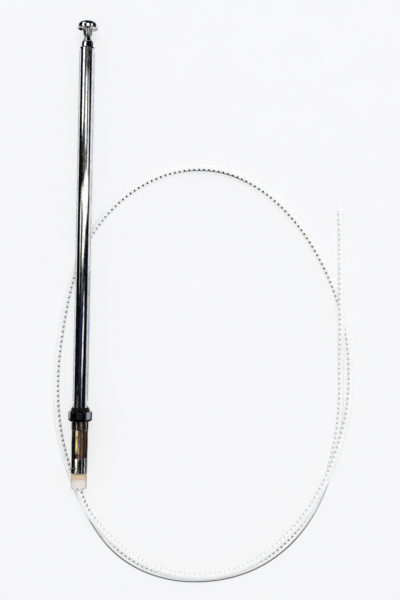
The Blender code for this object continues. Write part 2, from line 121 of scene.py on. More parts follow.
# Places in plan, and how far the cord is raised there, in laps
ROUTE = [
    (0.0155, -0.1848, 1), (0.0410, -0.2055, 1), (0.0734, -0.2152, 1), (0.1065, -0.2112, 1),
    (0.1346, -0.1936, 1), (0.1563, -0.1681, 1), (0.1711, -0.1383, 1.02), (0.1801, -0.1059, 0.75),
    (0.1822, -0.0724, 0.08), (0.1772, -0.0395, 0), (0.1654, -0.0080, 0), (0.1481, 0.0204, 0),
    (0.1243, 0.0441, 0), (0.0944, 0.0588, 0), (0.0614, 0.0587, 0), (0.0311, 0.0445, 0),
    (0.0080, 0.0207, 0), (-0.0063, -0.0095, 0), (-0.0136, -0.0424, 0), (-0.0174, -0.0755, 0),
    (-0.0165, -0.1091, 0), (-0.0094, -0.1416, 0), (0.0043, -0.1723, 0), (0.0250, -0.2003, 0),
    (0.0527, -0.2155, 0), (0.0860, -0.2187, 0), (0.1181, -0.2104, 0), (0.1447, -0.1907, 0),
    (0.1629, -0.1623, 0), (0.1724, -0.1305, 0), (0.1761, -0.0972, 0), (0.1759, -0.0770, 0),
    (0.1750, -0.0450, 1), (0.1744, -0.0235, 1), (0.1741, 0.0110, 0), (0.1730, 0.0367, 0),
]


def natural_spline(knots, values, at):
    """Natural cubic spline through values at the knots."""
    count = len(knots)
    spans = np.diff(knots)
    system = np.eye(count)
    right = np.zeros((count, values.shape[1]))
    slopes = np.diff(values, axis=0) / spans[:, None]
    for row in range(1, count - 1):
        system[row, row - 1] = spans[row - 1]
        system[row, row] = 2 * (spans[row - 1] + spans[row])
        system[row, row + 1] = spans[row]
        right[row] = 6 * (slopes[row] - slopes[row - 1])
    bends = np.linalg.solve(system, right)
    left = np.clip(np.searchsorted(knots, at, side="right") - 1, 0, count - 2)
    span = spans[left][:, None]
    before = (at - knots[left])[:, None]
    after = span - before
    curved = (bends[left] * after**3 + bends[left + 1] * before**3) / (6 * span)
    straight_left = (values[left] / span - bends[left] * span / 6) * after
    straight_right = (values[left + 1] / span - bends[left + 1] * span / 6) * before
    return curved + straight_left + straight_right


def cord_line(spacing):
    """Evenly spaced points of the cord's centreline."""
    lowest = TABLE + CORD_DIAMETER / 2
    points = [
        (0.0, FERRULE_FOOT + CORD_SOCKET, 0.0),
        (0.0, MAST_FOOT + PLUG_MIDDLE, 0.0),
        (EXIT_X, MAST_FOOT, 0.0),
        (DIP_X, MAST_FOOT - DIP_BELOW_PLUG, DIP_Z),
    ]
    points += [(x, y, lowest + lap * (CORD_DIAMETER + LAP_GAP)) for x, y, lap in ROUTE]
    points = np.array(points)
    knots = np.concatenate([[0.0], np.cumsum(np.hypot(*np.diff(points[:, :2], axis=0).T))])
    at = np.linspace(0.0, knots[-1], SPLINE_SAMPLES)
    plan = natural_spline(knots, points[:, :2], at)
    left = np.clip(np.searchsorted(knots, at, side="right") - 1, 0, len(knots) - 2)
    share = (at - knots[left]) / (knots[left + 1] - knots[left])
    ease = share * share * (3 - 2 * share)
    height = points[left, 2] + (points[left + 1, 2] - points[left, 2]) * ease
    line = np.column_stack([plan, height])
    run = np.concatenate([[0.0], np.cumsum(np.linalg.norm(np.diff(line, axis=0), axis=1))])
    places = np.linspace(0.0, run[-1], int(run[-1] / spacing) + 1)
    return np.column_stack([np.interp(places, run, line[:, axis]) for axis in range(3)]), run[-1]


TOOTH_PITCH = 0.0034
TOOTH_STEPS = 10
cord_path, cord_length = cord_line(TOOTH_PITCH / TOOTH_STEPS)
print("cord length", round(cord_length, 4), "points", len(cord_path))

# %% [markdown]
# The teeth of the cord face the inside of its laps. Each ring of the mesh is a round section cut
# flat on that side, and the flat moves in and out along the cord: out at a tooth, in at a gap.
# Sloping flanks between the two make the rack that the gear bites into, and a web along the
# underside closes each gap from below. How deep each point lies in a gap is kept with the mesh, for
# the finish to use, and so are the grease and painted shade in the gaps of that stretch, and the
# line of painted shade along its back. The free end was snipped off at a slant, so every ring
# stops at one slanting plane there.

# %% Toothed cord
CORD_SIDES = 20
TOOTH_TIP = 0.0021
TOOTH_ROOT = 0.0008
TIP_SHARE = 0.50
ROOT_SHARE = 0.22
END_SLANT = 0.75
SNIPPED_TEETH = 3
SNIP_MERGE = 0.00003
WEB_SHARE = -0.5
OLIVE_SPREAD = 0.8
# Where the line of painted shade sits round the cord's back, on its outer and upper side
BACK_SHADE_START = 0.3
BACK_SHADE_FADE = 0.1
BACK_SHADE_LEVEL = 0.2
BACK_SHADE_RISE = 4
SHARP = math.radians(32)
CORD_LAYERS = ("gap_depth", "grease_and_shade", "olive_grease", "back_painted_shade")
# Run along the cord, and how dark the line of painted shade on its back is there
BACK_SHADE_ALONG = [
    (0.765, 0), (0.790, 0.25), (0.810, 0.7), (0.840, 1),
    (0.965, 1), (0.995, 0.5), (1.040, 0.12), (1.080, 0),
]
# Run along the cord, how black its gaps are there with grease and painted shade, and how far the
# grease has turned to olive. Above 1, painted shade darkens the tips of the teeth as well.
GREASE_AND_SHADE_ALONG = [
    (0.030, 1, 0), (0.040, 0.7, 0), (0.050, 0.2, 0), (0.062, 0.07, 0), (0.200, 0.06, 0),
    (0.240, 0.14, 0), (0.300, 0.20, 0.5), (0.315, 0.22, 1), (0.352, 0.25, 1), (0.372, 0.45, 1),
    (0.385, 0.6, 1), (0.405, 0.9, 0.95), (0.420, 1.5, 0.8), (0.435, 1.7, 0.7), (0.455, 1.5, 0.6),
    (0.470, 1.6, 0.2), (0.490, 1.8, 0), (0.520, 1.7, 0), (0.545, 1.2, 0), (0.570, 0.8, 0),
    (0.600, 0.4, 0), (0.640, 0.5, 0), (0.775, 0.6, 0), (0.795, 0.12, 0), (0.820, 0.12, 0),
    (0.835, 0.9, 0), (0.862, 0.9, 0), (0.878, 0.12, 0), (0.935, 0.12, 0), (0.945, 1, 0),
    (0.985, 0.9, 0), (0.998, 0.18, 0), (1.045, 0.16, 0), (1.060, 0.2, 0.2), (1.115, 0.2, 0.2),
    (1.134, 0.16, 0), (1.149, 0.12, 0), (1.185, 0.10, 0), (1.197, 0.08, 0),
]


def limited(value):
    """Value kept between 0 and 1."""
    return min(max(value, 0.0), 1.0)


def tooth_flat(run):
    """Distance of the flat from the cord's middle, for a place along the cord."""
    phase = abs((run / TOOTH_PITCH) % 1.0 - 0.5) * 2
    rise = limited((phase - ROOT_SHARE) / (1.0 - TIP_SHARE - ROOT_SHARE))
    return TOOTH_ROOT + (TOOTH_TIP - TOOTH_ROOT) * rise


def add_quads(mesh, here, there, closed=True):
    """Faces between two rows of points, which become triangles where the rows share a point."""
    for index in range(len(here) if closed else len(here) - 1):
        after = (index + 1) % len(here)
        corners = list(dict.fromkeys((here[index], here[after], there[after], there[index])))
        if len(corners) > 2:
            mesh.faces.new(corners)


def plain_data(name, mesh):
    """Data of a finished mesh."""
    data = bpy.data.meshes.new(name)
    mesh.to_mesh(data)
    mesh.free()
    return data


def smooth_data(name, mesh, sharp=SHARP):
    """Data of a finished mesh, smooth up to the sharp angle."""
    bmesh.ops.recalc_face_normals(mesh, faces=mesh.faces)
    data = plain_data(name, mesh)
    data.shade_smooth()
    data.set_sharp_from_angle(angle=sharp)
    return data


def make_cord():
    """Mesh of the toothed cord, from its socket in the ferrule to its slanted free end."""
    radius = CORD_DIAMETER / 2
    tangents = np.gradient(cord_path, axis=0)
    tangents /= np.linalg.norm(tangents, axis=1)[:, None]
    mesh = bmesh.new()
    layers = [mesh.verts.layers.float.new(name) for name in CORD_LAYERS]
    gap_runs, blackness, oliveness = zip(*GREASE_AND_SHADE_ALONG)
    back_runs, darkness = zip(*BACK_SHADE_ALONG)
    slant_start = cord_length - 2 * END_SLANT * radius
    rings = []
    for index, (centre, tangent) in enumerate(zip(cord_path, tangents)):
        forward = Vector(tangent)
        inward = Vector((0.0, 0.0, 1.0)).cross(forward).normalized()
        up = forward.cross(inward)
        run = index * TOOTH_PITCH / TOOTH_STEPS
        flat = tooth_flat(run) if run < slant_start else TOOTH_TIP
        grease_and_shade = float(np.interp(run, gap_runs, blackness))
        olive = float(np.interp(run, gap_runs, oliveness))
        # Painted shade: how dark the line along the cord's back is here
        back_shade = float(np.interp(run, back_runs, darkness, left=0.0, right=0.0))
        # Painted shade on the tips of the teeth where the gaps' black goes above 1
        painted_tip_shade = max(grease_and_shade - 1.0 - olive, 0.0)
        deep = (TOOTH_TIP - flat) / (TOOTH_TIP - TOOTH_ROOT) * (1.0 + OLIVE_SPREAD * olive)
        ring = []
        for side in range(CORD_SIDES):
            angle = 2 * math.pi * side / CORD_SIDES
            across = radius * math.cos(angle)
            aside = radius * math.sin(angle)
            inside = across if aside < WEB_SHARE * radius else min(across, flat)
            end = cord_length - END_SLANT * (TOOTH_TIP - inside)
            shift = min(end - run, 0.0)
            point = mesh.verts.new(Vector(centre) + inward * inside + up * aside + forward * shift)
            facing = max(across - TOOTH_ROOT, 0.0) / (radius - TOOTH_ROOT)
            outward = limited((-across / radius - BACK_SHADE_START) / BACK_SHADE_FADE)
            above = limited(BACK_SHADE_RISE * aside / radius + BACK_SHADE_LEVEL)
            values = (facing * max(deep, painted_tip_shade), grease_and_shade, olive, back_shade * outward * above)
            for layer, value in zip(layers, values):
                point[layer] = value
            ring.append(point)
        rings.append(ring)
    for here, there in zip(rings, rings[1:]):
        add_quads(mesh, here, there)
    mesh.faces.new(rings[0])
    mesh.faces.new(rings[-1])
    snipped = [point for ring in rings[-SNIPPED_TEETH * TOOTH_STEPS:] for point in ring]
    bmesh.ops.remove_doubles(mesh, verts=snipped, dist=SNIP_MERGE)
    cord = add_object("toothed_cord", smooth_data("toothed_cord", mesh))
    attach(cord, "mast_base")
    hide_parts("drive_cord")
    print("cord rings", len(rings), "faces", len(cord.data.polygons))
    return cord


toothed_cord = make_cord()

# %% [markdown]
# Nearly every other piece was turned on a lathe, so one helper makes them: it takes an outline of
# radii and heights, rounds each corner that asks for it, and carries it round the mast's axis.
# Sharp edges on real metal are never perfectly sharp, and the small roundings catch the light.

# %% Turned pieces
ROUND_STEPS = 4
FINE_SIDES = 128
HOLD = 0.00015


def softened(outline):
    """Outline with each corner (radius, height, rounding) turned into a short arc."""
    points = []
    for index, (radius, height, rounding) in enumerate(outline):
        corner = Vector((radius, height))
        if rounding == 0:
            points.append(corner)
            continue
        before = (Vector(outline[index - 1][:2]) - corner).normalized()
        after = (Vector(outline[(index + 1) % len(outline)][:2]) - corner).normalized()
        half = before.angle(after) / 2
        centre = corner + (before + after).normalized() * rounding / math.sin(half)
        start = corner + before * rounding / math.tan(half) - centre
        end = corner + after * rounding / math.tan(half) - centre
        sweep = start.angle(end)
        for step in range(ROUND_STEPS + 1):
            share = step / ROUND_STEPS
            mixed = start * math.sin((1 - share) * sweep) + end * math.sin(share * sweep)
            points.append(centre + mixed / math.sin(sweep))
    return points


def held(points, closed):
    """Outline with a point close to each end of its long stretches, so that they shade straight."""
    result = []
    for index, point in enumerate(points):
        result.append(point)
        if index == len(points) - 1 and not closed:
            break
        stretch = points[(index + 1) % len(points)] - point
        if stretch.length > 4 * HOLD:
            result.append(point + stretch.normalized() * HOLD)
            result.append(point + stretch - stretch.normalized() * HOLD)
    return result


def add_point(mesh, radius, height, angle):
    """New point of a mesh, at an angle round the mast."""
    return mesh.verts.new((radius * math.cos(angle), height, radius * math.sin(angle)))


def joined_columns(name, mesh, columns, closed, sharp=SHARP):
    """Data of a mesh whose columns of points stand round the mast."""
    for here, there in zip(columns, columns[1:] + columns[:1]):
        add_quads(mesh, here, there, closed)
    return smooth_data(name, mesh, sharp)


def turned_mesh(name, outline, sides=FINE_SIDES, reshape=None):
    """Mesh of an outline carried round Y. It may start and end on the axis, at radius 0."""
    points = softened(outline)
    points = held(points, points[0].x != 0.0)
    on_axis = points[0].x == 0.0 and points[-1].x == 0.0
    mesh = bmesh.new()
    columns = []
    poles = {}
    for side in range(sides):
        angle = 2 * math.pi * side / sides
        column = []
        for index, point in enumerate(points):
            if point.x == 0.0:
                if index not in poles:
                    poles[index] = mesh.verts.new((0.0, point.y, 0.0))
                column.append(poles[index])
                continue
            radius = point.x if reshape is None else reshape(point.x, point.y, angle)
            column.append(add_point(mesh, radius, point.y, angle))
        columns.append(column)
    return joined_columns(name, mesh, columns, not on_axis)


def dress(name, data, body, node, slot):
    """Show a fine mesh in place of a solid, on the same body, in the finish of its slot."""
    piece = add_object(name, data)
    data.materials.clear()
    data.materials.append(FINISHES[slot])
    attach(piece, body)
    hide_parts(node)
    print(name, len(data.polygons), "faces")


def make_turned(name, body, node, slot, outline, sides=FINE_SIDES, reshape=None):
    """Turned piece in place of a solid."""
    dress(name, turned_mesh(name, outline, sides, reshape), body, node, slot)


print("sides of a turned piece", FINE_SIDES)

# %% [markdown]
# Several finishes share the same small effects, so each effect is a node group with its own
# inputs. Streaks follow the length of the mast, as drawing and polishing leave them. Turning marks
# run round it. Smudges are soft patches where fingers and time have dulled a surface.
# Node trees are long to write out socket by socket. Here a value stands for the output of a node,
# and adding or multiplying values makes the Math nodes that do it in the shader.

# %% Shared shader effects
class Value:
    """Output of a node, which makes Math nodes when it is added, multiplied and so on."""

    def __init__(self, tree, socket):
        self.tree = tree
        self.socket = socket

    def math(self, operation, other=0.0, clamp=False):
        """Value of a Math node that starts from this one."""
        return add_node(self.tree, "Math", {0: self, 1: other}, operation=operation, use_clamp=clamp)[0]

    def __add__(self, other):
        return self.math("ADD", other)

    def __sub__(self, other):
        return self.math("SUBTRACT", other)

    def __mul__(self, other):
        return self.math("MULTIPLY", other)

    def __truediv__(self, other):
        return self.math("DIVIDE", other)


def fill(node, inputs):
    """Give sockets of a node their values, numbers, vectors or colours."""
    for name, value in inputs.items():
        socket = node.inputs[name]
        if isinstance(value, Value):
            value.tree.links.new(value.socket, socket)
        elif socket.type == "RGBA":
            socket.default_value = (*value, 1.0)
        else:
            socket.default_value = value


def add_node(tree, kind, inputs, **settings):
    """New node with its settings and inputs. Returns the values of its outputs."""
    node = tree.nodes.new("ShaderNode" + kind)
    for name, value in settings.items():
        setattr(node, name, value)
    fill(node, inputs)
    return [Value(tree, socket) for socket in node.outputs]


def noise(vector, scale, detail=3.0, roughness=0.55):
    """Noise over a vector, around 0.5."""
    inputs = {"Vector": vector, "Scale": scale, "Detail": detail, "Roughness": roughness}
    return add_node(vector.tree, "TexNoise", inputs)[0]


def stretch(vector, factors):
    """Vector scaled by three factors."""
    return add_node(vector.tree, "Mapping", {"Vector": vector, "Scale": factors})[0]


def contrast(value, low, high):
    """Value stretched so that low becomes 0 and high becomes 1."""
    inputs = {"Value": value, "From Min": low, "From Max": high}
    return add_node(value.tree, "MapRange", inputs, clamp=True)[0]


def mix(share, first, second):
    """Colour mixed between two colours by a share."""
    return add_node(share.tree, "Mix", {"Factor": share, 6: first, 7: second}, data_type="RGBA")[2]


def bump(height, strength, distance):
    """Normal of a surface with a height in it."""
    inputs = {"Height": height, "Strength": strength, "Distance": distance}
    return add_node(height.tree, "Bump", inputs)[0]


def effect(group, place, scale):
    """Values of a shared effect, placed in a material at its own scale."""
    return add_node(place.tree, "Group", {"Vector": place, "Scale": scale}, node_tree=group)


def open_group(name, scale):
    """New shader group, with its vector and its scale as values."""
    group = bpy.data.node_groups.new(name, "ShaderNodeTree")
    group.interface.new_socket("Vector", in_out="INPUT", socket_type="NodeSocketVector")
    sized = group.interface.new_socket("Scale", in_out="INPUT", socket_type="NodeSocketFloat")
    sized.default_value = scale
    start = group.nodes.new("NodeGroupInput")
    return group, Value(group, start.outputs["Vector"]), Value(group, start.outputs["Scale"])


def close_group(group, outputs):
    """Group with its values led out under their names."""
    for name in outputs:
        group.interface.new_socket(name, in_out="OUTPUT", socket_type="NodeSocketFloat")
    fill(group.nodes.new("NodeGroupOutput"), outputs)
    return group


def make_streaks():
    """Marks along the mast: a soft mask and a finer height for bump."""
    group, place, scale = open_group("lengthwise_streaks", 900.0)
    drawn = stretch(place, (1.0, 0.05, 1.0))
    mask = contrast(noise(drawn, scale), 0.38, 0.66)
    return close_group(group, {"Mask": mask, "Height": noise(drawn, scale * 3.1, 2.0)})


def make_turning_marks():
    """Marks round the mast: height and mask change along Y only."""
    group, place, scale = open_group("turning_marks", 4000.0)
    rings = noise(stretch(place, (0.02, 1.0, 0.02)), scale, 2.0)
    return close_group(group, {"Mask": contrast(rings, 0.4, 0.62), "Height": rings})


def make_smudges():
    """Soft patches and a few fine scratches."""
    group, place, scale = open_group("smudges", 120.0)
    patches = contrast(noise(place, scale, 4.0, 0.6), 0.45, 0.7)
    slant = {"Vector": place, "Rotation": (0.3, 0.5, 0.9), "Scale": (1.0, 0.06, 1.0)}
    scratches = contrast(noise(add_node(group, "Mapping", slant)[0], scale * 22.0, 1.0), 0.68, 0.74)
    return close_group(group, {"Mask": patches, "Scratch": scratches})


FINISHES = {}


def new_finish(name, metallic):
    """Shader of a new finish under this name, and the place on the object as a value."""
    FINISHES[name] = bpy.data.materials.new(name)
    FINISHES[name].use_nodes = True
    tree = FINISHES[name].node_tree
    shader = tree.nodes["Principled BSDF"]
    fill(shader, {"Metallic": metallic, "IOR": 1.5})
    return shader, Value(tree, tree.nodes.new("ShaderNodeTexCoord").outputs["Object"])


def split(place):
    """The three coordinates of a place."""
    return add_node(place.tree, "SeparateXYZ", {"Vector": place})


def turn_round(place):
    """Angle round the mast in radians: 0 upwards, positive towards +X."""
    across, above = split(place)[::2]
    return across.math("ARCTAN2", above)


STREAKS = make_streaks()
TURNING = make_turning_marks()
SMUDGES = make_smudges()
print("shared effects", [group.name for group in bpy.data.node_groups])

# %% [markdown]
# Chrome plate on the barrel, the sections, the cap and the nut. The plate is nearly a mirror, so
# its look is mostly what it reflects. The finish adds what stops it looking like glass: a very
# slight waviness along the tube, dull patches, pits and a few hairline scratches. Painted shade
# darkens a thin line under the mouths of the tubes and the bottoms of the flutes in the cap, and
# painted dark reflection lines the corners and coned edges of the nut.

# %% Chrome
PIT_SCALE = 700.0
PIT_DRAW = 0.4
PAINTED_CORNER_RADIUS = 0.0072
PAINTED_EDGE_FADE = 0.00025
# Colour of the painted shade and painted dark reflection on the chrome
PAINTED_DARK = (0.03, 0.03, 0.035)
MOUTH_LINE = 0.0003
FLUTE_COUNT = 14
FLUTE_SHADE_TOP = 0.0045
FLUTE_SHADE_FADE = 0.0002
NUT_FACE = 0.0069
CHAMFER = math.radians(32)
TOP_BAND = 0.00005
FOOT_BAND = 0.0013


def nut_painted_reflection(place):
    """Mask of painted dark reflection on the nut's corners and coned edges."""
    x, y, z = split(place)
    radius = (x.math("POWER", 2.0) + z.math("POWER", 2.0)).math("POWER", 0.5)
    # Painted dark reflection along the corners of the nut
    mask = contrast(radius, PAINTED_CORNER_RADIUS, PAINTED_CORNER_RADIUS + PAINTED_EDGE_FADE)
    slope = math.tan(CHAMFER)
    foot, top = ends("mast_nut")[:2]
    for side, end, band in ((1, top, TOP_BAND), (-1, foot, FOOT_BAND)):
        out = (y - end) * side + radius * slope
        cone = NUT_FACE * slope - band
        mask = mask.math("MAXIMUM", contrast(out, cone - PAINTED_EDGE_FADE, cone))
    return mask


def mouth_painted_shade(*tubes):
    """Maker of a mask of painted shade: a thin dark line just under the mouth of each tube."""

    def lines(place):
        height = split(place)[1]
        mask = 0.0
        for tube in tubes:
            # Painted shade: a thin dark line just under this mouth
            away = (height - (ends(tube)[1] - MOUTH_LINE)).math("ABSOLUTE")
            mask = contrast(away, MOUTH_LINE * 1.5, MOUTH_LINE).math("MAXIMUM", mask)
        return mask

    return lines


def flute_painted_shade(place):
    """Mask of painted shade in the bottoms of the flutes in the neck of the cap."""
    # Painted shade in each flute bottom
    bottoms = contrast((turn_round(place) * FLUTE_COUNT).math("COSINE"), 0.1, 0.7)
    neck_top = ends("tip_cap")[0] + FLUTE_SHADE_TOP
    return bottoms * contrast(split(place)[1], neck_top + FLUTE_SHADE_FADE, neck_top)


def make_chrome(name, colour, dull, roughness, marks, marks_scale, painted_dark):
    """Plated finish with shared marks, darkened where its mask says: painted shade at the tube mouths and
    flutes, painted dark reflection on the nut's edges.
    """
    shader, place = new_finish(name, 1.0)
    smudge, scratch = effect(SMUDGES, place, 150.0)
    line, height = effect(marks, place, marks_scale)
    pits = contrast(noise(stretch(place, (1.0, PIT_DRAW, 1.0)), PIT_SCALE), 0.52, 0.62)
    worn = (smudge * 0.4).math("ADD", pits * 0.6, clamp=True)
    fill(shader, {
        "Base Color": mix(painted_dark(place), mix(worn, colour, dull), PAINTED_DARK),
        "Roughness": smudge * 0.05 + line * 0.03 + scratch * 0.12 + roughness,
        "Normal": bump(height, 0.1, 0.00001),
    })


make_chrome(
    "barrel_chrome", (0.88, 0.89, 0.92), (0.5, 0.52, 0.58), 0.04, STREAKS, 700.0,
    mouth_painted_shade("outer_tube"),
)
make_chrome(
    "section_chrome", (0.86, 0.87, 0.89), (0.5, 0.51, 0.55), 0.05, STREAKS, 900.0,
    mouth_painted_shade("section_2_tube", "section_3_tube"),
)
make_chrome(
    "cap_chrome", (0.88, 0.89, 0.91), (0.6, 0.61, 0.64), 0.03, TURNING, 3000.0, flute_painted_shade
)
make_chrome(
    "nut_chrome", (0.60, 0.62, 0.67), (0.48, 0.5, 0.56), 0.05, TURNING, 2500.0, nut_painted_reflection
)
print("plated finishes", list(FINISHES))

# %% [markdown]
# The brass pieces at the foot have never been plated. The contact sleeve is coloured by its angle
# round the mast: one band of yellow brass where the painted highlight falls, and between, browns and
# reds of stains mixed with painted reflection, and near-black painted shade, drawn out along the mast.
# The collar next to it has gone nearly black.

# %% Brass, bronze and nickel
def make_brass(name, bright, brown, red, roughness, worn_low, worn_high):
    """Tarnished brass: bright where rubbed, brown and red between, in lengthwise streaks."""
    shader, place = new_finish(name, 1.0)
    streak, height = effect(STREAKS, place, 420.0)
    patch = effect(SMUDGES, place, 260.0)[0]
    fill(shader, {
        "Base Color": mix(contrast(height, worn_low, worn_high), mix(patch, brown, red), bright),
        "Roughness": streak * 0.12 + patch * 0.1 + roughness,
        "Normal": bump(height, 0.3, 0.00003),
    })


# Angle round the sleeve in degrees, 0 upwards and positive towards +X, and the colour there: stains
# with painted reflection in the browns and reds, and painted shade in the near-black bands
SLEEVE_STAINS_AND_PAINTED_LIGHT = [
    (-180, (0.16, 0.10, 0.05)),
    (-110, (0.012, 0.008, 0.007)),
    (-28, (0.004, 0.003, 0.003)),
    (-12, (0.07, 0.035, 0.018)),
    (-3, (0.20, 0.11, 0.055)),
    (5, (0.24, 0.13, 0.10)),
    (11, (0.03, 0.014, 0.009)),
    (19, (0.20, 0.09, 0.07)),
    (25, (0.15, 0.13, 0.055)),
    (33, (0.03, 0.012, 0.010)),
    (46, (0.02, 0.008, 0.007)),
    (50, (0.20, 0.045, 0.03)),
    (54, (0.012, 0.008, 0.007)),
    (110, (0.012, 0.008, 0.007)),
]
# A band of bright brass at the angle where the highlight falls: a painted highlight
HIGHLIGHT_BRASS = (0.93, 0.74, 0.34)
HIGHLIGHT_ANGLE = math.radians(-15)
HIGHLIGHT_HALF_WIDTH = math.radians(9)
HIGHLIGHT_FOOT = 0.0055
BAND_WANDER = 0.22


def make_sleeve_brass():
    """Brass in lengthwise bands by its angle round the mast: stains with painted reflection and painted
    shade, and one bright band of painted highlight.
    """
    shader, place = new_finish("sleeve_brass", 1.0)
    streak, drawn = effect(STREAKS, place, 420.0)
    turn = turn_round(place) + (drawn - 0.5) * BAND_WANDER
    ramp = place.tree.nodes.new("ShaderNodeValToRGB")
    stops = ramp.color_ramp.elements
    for index, (angle, colour) in enumerate(SLEEVE_STAINS_AND_PAINTED_LIGHT):
        stop = stops[index] if index < 2 else stops.new(angle / 360 + 0.5)
        stop.position = angle / 360 + 0.5
        stop.color = (*colour, 1.0)
    fill(ramp, {"Fac": turn / (2 * math.pi) + 0.5})
    grain = contrast(noise(place, 1100.0, 2.0), 0.42, 0.58)
    patchy = effect(SMUDGES, place, 320.0)[0].math("MAXIMUM", grain * 0.7)
    blotch = mix(patchy, (1.5, 1.45, 1.4), (0.25, 0.2, 0.2))
    # The ramp's colour is stains with painted reflection and painted shade, fixed to the angle round the
    # mast
    stain = Value(place.tree, ramp.outputs["Color"])
    stain = add_node(place.tree, "VectorMath", {0: stain, 1: blotch}, operation="MULTIPLY")[0]
    # The bright band of painted highlight
    away = (turn - HIGHLIGHT_ANGLE).math("ABSOLUTE")
    highlight_band = contrast(away, HIGHLIGHT_HALF_WIDTH * 1.25, HIGHLIGHT_HALF_WIDTH * 0.85)
    foot = ends("contact_sleeve")[0]
    highlight_band = highlight_band * contrast(split(place)[1], foot + HIGHLIGHT_FOOT * 0.5, foot + HIGHLIGHT_FOOT)
    fill(shader, {
        "Base Color": mix(highlight_band, stain, HIGHLIGHT_BRASS),
        "Metallic": highlight_band * 0.7 + 0.3,
        "Roughness": streak * 0.1 + 0.42 - highlight_band * 0.22,
        "Normal": bump(drawn, 0.3, 0.00003),
    })


def make_ring_nickel():
    """Nickel with painted dark reflections in lengthwise streaks."""
    shader, place = new_finish("ring_nickel", 1.0)
    # Painted dark reflections, drawn out along the mast
    painted_dark_streaks = contrast(effect(STREAKS, place, 750.0)[1], 0.50, 0.60)
    line, height = effect(TURNING, place, 2600.0)
    fill(shader, {
        "Base Color": mix(painted_dark_streaks, (0.88, 0.88, 0.86), (0.03, 0.025, 0.022)),
        "Roughness": line * 0.05 + 0.1,
        "Normal": bump(height, 0.1, 0.00001),
    })


make_sleeve_brass()
make_brass(
    "collar_brass", (0.75, 0.66, 0.58), (0.025, 0.017, 0.014), (0.10, 0.035, 0.022), 0.2, 0.54, 0.62
)
make_brass(
    "ferrule_brass", (0.88, 0.7, 0.36), (0.6, 0.42, 0.2), (0.55, 0.33, 0.2), 0.22, 0.35, 0.55
)
make_brass(
    "spring_bronze", (0.8, 0.52, 0.32), (0.5, 0.3, 0.18), (0.52, 0.26, 0.18), 0.28, 0.4, 0.6
)
make_ring_nickel()
print("metal finishes", len(FINISHES))

# %% [markdown]
# Nylon lets light in a little way, so it looks milky and its edges never go really dark. The plug
# has yellowed most against the metal, and is palest at its free end; painted shade tints its sides
# olive. The cord has stayed white, but old grease from the motor's gear and painted shade darken
# the gaps between its teeth, in some stretches more than in others, and a line of painted shade
# runs along its back. A faint painted glow of its own stands for the light that it takes in from
# the table.

# %% Nylon and black plastic
MILKY_LENGTH = 0.0050
MILKY_FADE = 0.0016
MILKY_WANDER = 0.0060
TAN_LENGTH = 0.0008
TAN_FADE = 0.0004
MILKY = (0.85, 0.81, 0.76)
TAN = (0.42, 0.38, 0.25)
EDGE_PAINTED_SHADE = (0.42, 0.40, 0.17)
NOTCH_DARK = (0.07, 0.06, 0.035)
NOTCH_COUNT = 8
NOTCH_TURN = math.radians(-3.5)
NOTCH_DEPTH = 0.0007
NYLON_GLOW = 0.04
BLACK_GREASE_AND_SHADE = (0.03, 0.03, 0.028)
BACK_PAINTED_SHADE = (0.04, 0.04, 0.039)
OLIVE_GREASE = (0.33, 0.33, 0.08)


def make_plug_nylon():
    """Moulded nylon: tan and amber next to the metal, milky below, painted olive shade on its sides,
    darker round its notches.
    """
    shader, place = new_finish("plug_nylon", 0.0)
    turn = turn_round(place)
    level = split(place)[1]
    grain = noise(place, 420.0)
    height = level + (grain - 0.5) * MILKY_WANDER
    milky_top = MAST_FOOT + MILKY_LENGTH
    tan_foot = BARREL_FOOT - TAN_LENGTH
    stain = mix(contrast(grain, 0.4, 0.65), (0.70, 0.50, 0.33), (0.80, 0.66, 0.46))
    shade = mix(contrast(height, milky_top, milky_top + MILKY_FADE), MILKY, stain)
    shade = mix(contrast(height, tan_foot - TAN_FADE, tan_foot + TAN_FADE), shade, TAN)
    # Painted shade: an olive tint on the plug's sides towards +X and -X
    aside = turn.math("SINE").math("ABSOLUTE")
    shade = mix(contrast(aside, 0.86, 1.0), shade, EDGE_PAINTED_SHADE)
    # Darker round each notch at the free end
    notch = ((turn - (math.pi / 2 + NOTCH_TURN)) * NOTCH_COUNT).math("COSINE")
    low = contrast(level, MAST_FOOT + 1.6 * NOTCH_DEPTH, MAST_FOOT + NOTCH_DEPTH)
    fill(shader, {
        "Base Color": mix(contrast(notch, 0.7, 0.9) * low, shade, NOTCH_DARK),
        "Subsurface Weight": 0.25,
        "Subsurface Radius": (0.0009, 0.0007, 0.0005),
        "Subsurface Scale": 1.0,
        "Roughness": grain * 0.2 + 0.28,
        "Normal": bump(noise(place, 1600.0), 0.2, 0.00004),
    })


def kept_value(tree, name):
    """Number kept with the mesh under a name."""
    node = tree.nodes.new("ShaderNodeAttribute")
    node.attribute_name = name
    return Value(tree, node.outputs["Fac"])


